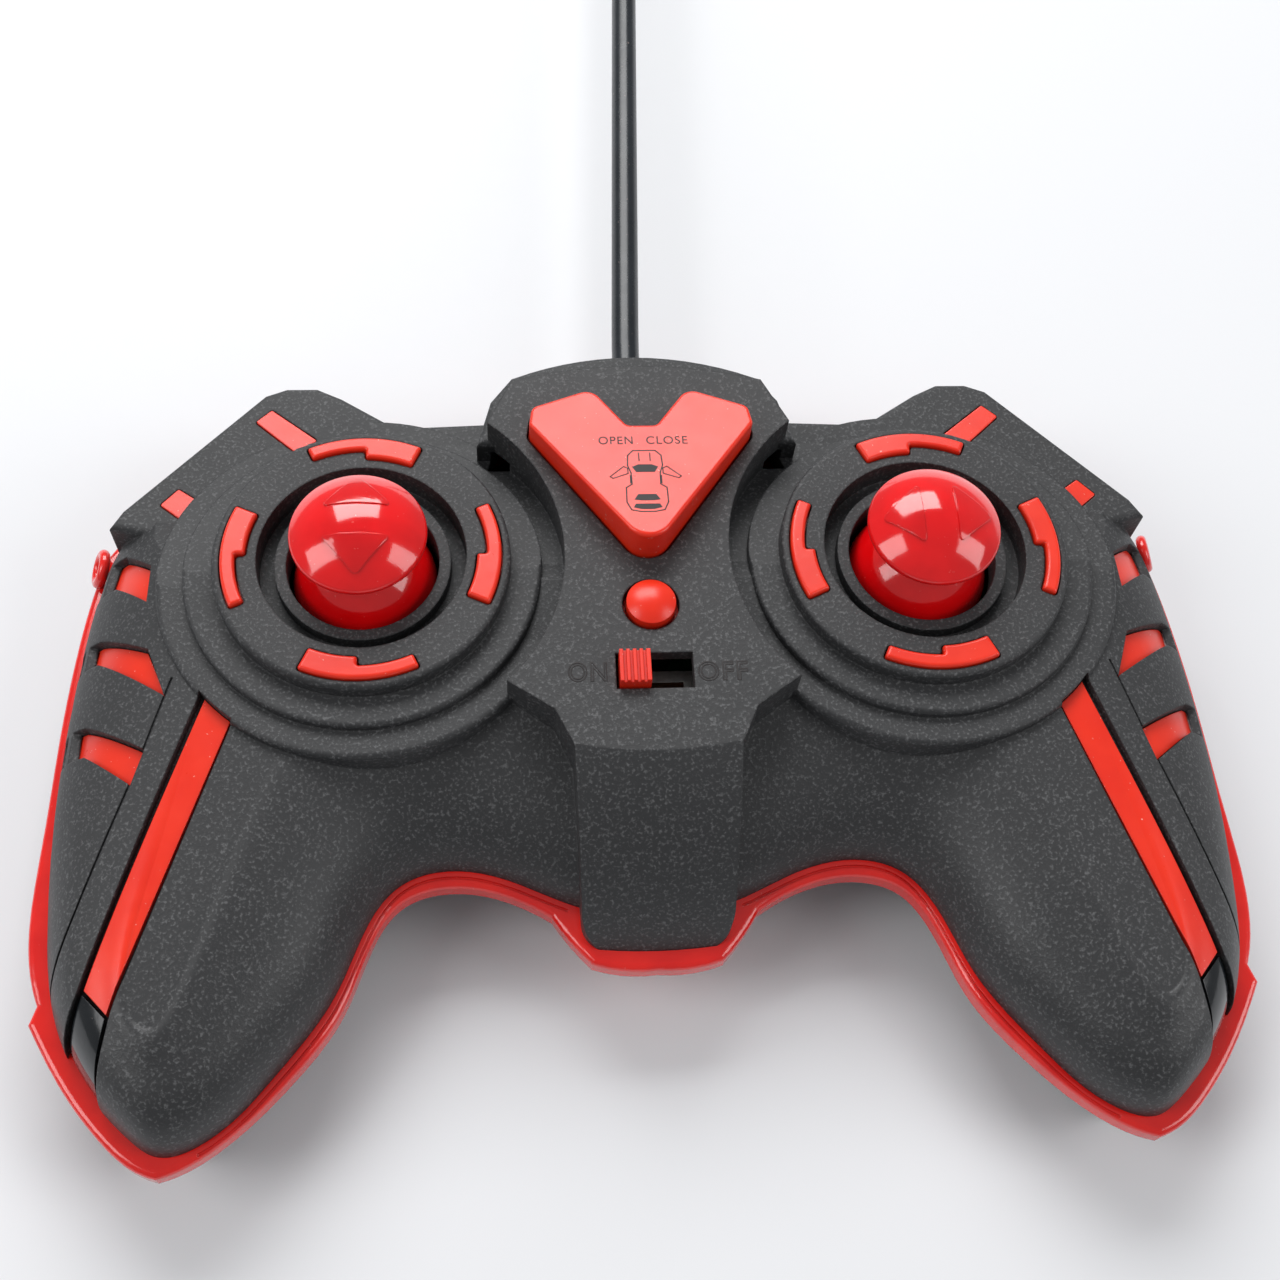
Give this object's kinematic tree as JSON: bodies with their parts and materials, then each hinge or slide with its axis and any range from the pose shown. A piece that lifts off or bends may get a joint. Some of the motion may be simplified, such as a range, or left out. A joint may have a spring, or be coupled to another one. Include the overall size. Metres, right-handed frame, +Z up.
{
  "type": "toy radio control transmitter",
  "caption": "Hand-held gamepad-shaped transmitter for a radio-controlled toy car, with two thumb sticks, push buttons, a slide switch and a rod aerial.",
  "frame": {"origin": "on the resting face of the lower shell, on the middle plane, 26 mm in front of the line through the two stick pivots", "axes": "+X to the player's right, +Y away from the player along the aerial, +Z up out of the thumb sticks' side"},
  "size_m": [0.1608, 0.3086, 0.0434],
  "materials": {
    "black_shell": "fine spark-eroded grain, satin, light scuffs",
    "red_gloss_trim": "polished moulding, deep red",
    "red_inlay": "opaque orange-red moulding, semi-gloss",
    "red_clear": "translucent deep red moulding, polished",
    "black_gloss": "polished black moulding",
    "plated_steel": "bright zinc plating",
    "spring_steel": "drawn spring wire",
    "brown_laminate": "phenolic laminate",
    "circuit_laminate": "green lacquered laminate",
    "black_component": "moulded epoxy",
    "copper": "enamelled copper wire",
    "component_sleeve": "shrink sleeve",
    "white_nylon": "natural nylon",
    "brass_leaf": "stamped brass",
    "black_sleeve": "smooth black PVC sleeve",
    "cell_jacket": "plain jacket over a can"
  },
  "bodies": {
    "housing": {"aerial_clamp": "brass_leaf", "aerial_coil": "copper", "aerial_collar": "black_shell", "aerial_screw": "plated_steel", "aerial_sleeve": "black_sleeve", "aerial_tip": "black_sleeve", "aerial_wire": "spring_steel", "battery_1": "cell_jacket", "battery_2": "cell_jacket", "battery_contacts": "plated_steel", "battery_springs": "spring_steel", "board_screws": "plated_steel", "bottom_shell": "black_shell", "capacitors": "component_sleeve", "circuit_board": "circuit_laminate", "crystal": "plated_steel", "encoder_chip": "black_component", "housing_screws": "plated_steel", "left_dial_inlay": "red_inlay", "left_ear_inlay": "red_inlay", "left_grip_end": "black_gloss", "left_grip_strip": "red_inlay", "left_side_inlay": "red_inlay", "left_stick_bracket": "white_nylon", "left_stick_contacts": "brass_leaf", "left_stick_pin": "plated_steel", "left_stick_spring": "spring_steel", "right_dial_inlay": "red_inlay", "right_ear_inlay": "red_inlay", "right_grip_end": "black_gloss", "right_grip_strip": "red_inlay", "right_side_inlay": "red_inlay", "right_stick_bracket": "white_nylon", "right_stick_contacts": "brass_leaf", "right_stick_pin": "plated_steel", "right_stick_spring": "spring_steel", "switch_base": "brown_laminate", "switch_can": "plated_steel", "tact_switches": "black_component", "top_cover": "black_shell", "trim_band": "red_gloss_trim"},
    "left_stick": {"left_stick_knob": "red_clear", "left_stick_lever": "white_nylon"},
    "right_stick": {"right_stick_knob": "red_clear", "right_stick_lever": "white_nylon"},
    "door_button": {"door_button": "red_inlay"},
    "round_button": {"round_button": "red_inlay"},
    "power_switch": {"switch_knob": "red_inlay"},
    "battery_door": {"battery_door": "black_shell", "battery_door_screw": "plated_steel"}
  },
  "joints": [
    {"name": "left_stick_tilt", "type": "hinge", "parent": "housing", "child": "left_stick", "pos_m": [-0.0376, 0.026, 0.026], "axis": [1, 0, 0], "range_deg": [-18, 18], "stiffness_Nm_per_rad": 0.025, "deforming": ["left_stick_spring"]},
    {"name": "right_stick_tilt", "type": "hinge", "parent": "housing", "child": "right_stick", "pos_m": [0.0376, 0.026, 0.026], "axis": [0, 1, 0], "range_deg": [-18, 18], "stiffness_Nm_per_rad": 0.025, "deforming": ["right_stick_spring"]},
    {"name": "door_button_press", "type": "slide", "parent": "housing", "child": "door_button", "axis": [0, 0, -1], "range_m": [0, 0.001], "stiffness_N_per_m": 900, "springref_m": -0.0005},
    {"name": "round_button_press", "type": "slide", "parent": "housing", "child": "round_button", "axis": [0, 0, -1], "range_m": [0, 0.0009], "stiffness_N_per_m": 700, "springref_m": -0.0005},
    {"name": "power_switch_slide", "type": "slide", "parent": "housing", "child": "power_switch", "axis": [1, 0, 0], "range_m": [0, 0.0052]},
    {"name": "battery_door_hinge", "type": "hinge", "parent": "housing", "child": "battery_door", "pos_m": [0, 0.00735, 0.001], "axis": [-1, 0, 0], "range_deg": [0, 70]}
  ]
}
